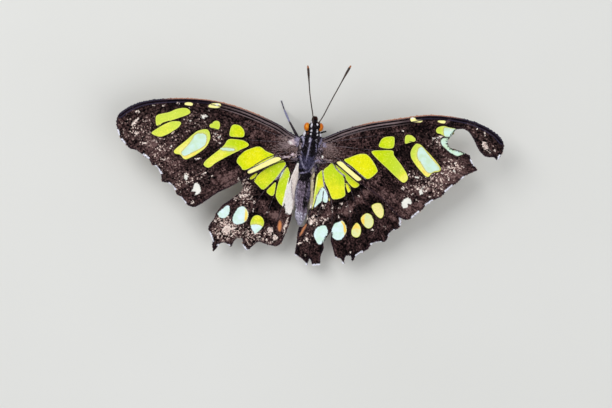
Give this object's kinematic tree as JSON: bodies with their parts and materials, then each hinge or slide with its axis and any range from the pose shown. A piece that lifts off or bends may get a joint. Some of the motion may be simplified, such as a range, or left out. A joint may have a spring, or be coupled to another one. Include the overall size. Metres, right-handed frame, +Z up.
{
  "type": "malachite butterfly",
  "caption": "Life-size still model of a worn malachite butterfly standing with its wings spread flat, its margins scalloped and torn.",
  "frame": {"origin": "on the floor under the middle of the bounding box, between the wing tips", "axes": "+Z up from the floor, +Y towards the head along the body, +X towards the insect's right wing tip"},
  "size_m": [0.0952, 0.0505, 0.011],
  "materials": {
    "body_hair": "matt, short dark hair with lilac-grey lines",
    "palp": "matt, dark hair",
    "eye": "glossy, finely faceted",
    "horn": "satin horn",
    "antenna": "matt, tipped brown",
    "wing": "matt, finely scaled, dark brown with yellow-green and pale aqua patches",
    "leg": "matt, finely scaled"
  },
  "bodies": {
    "root": {"head": "body_hair", "thorax": "body_hair", "abdomen": "body_hair", "palp_left": "palp", "palp_right": "palp", "eye_left": "eye", "eye_right": "eye", "proboscis": "horn", "antenna_left": "antenna", "antenna_right": "antenna", "forewing_left": "wing", "forewing_right": "wing", "hindwing_left": "wing", "hindwing_right": "wing", "midleg_left": "leg", "midleg_right": "leg", "hindleg_left": "leg", "hindleg_right": "leg", "foreleg_left": "leg", "foreleg_right": "leg"}
  },
  "joints": []
}
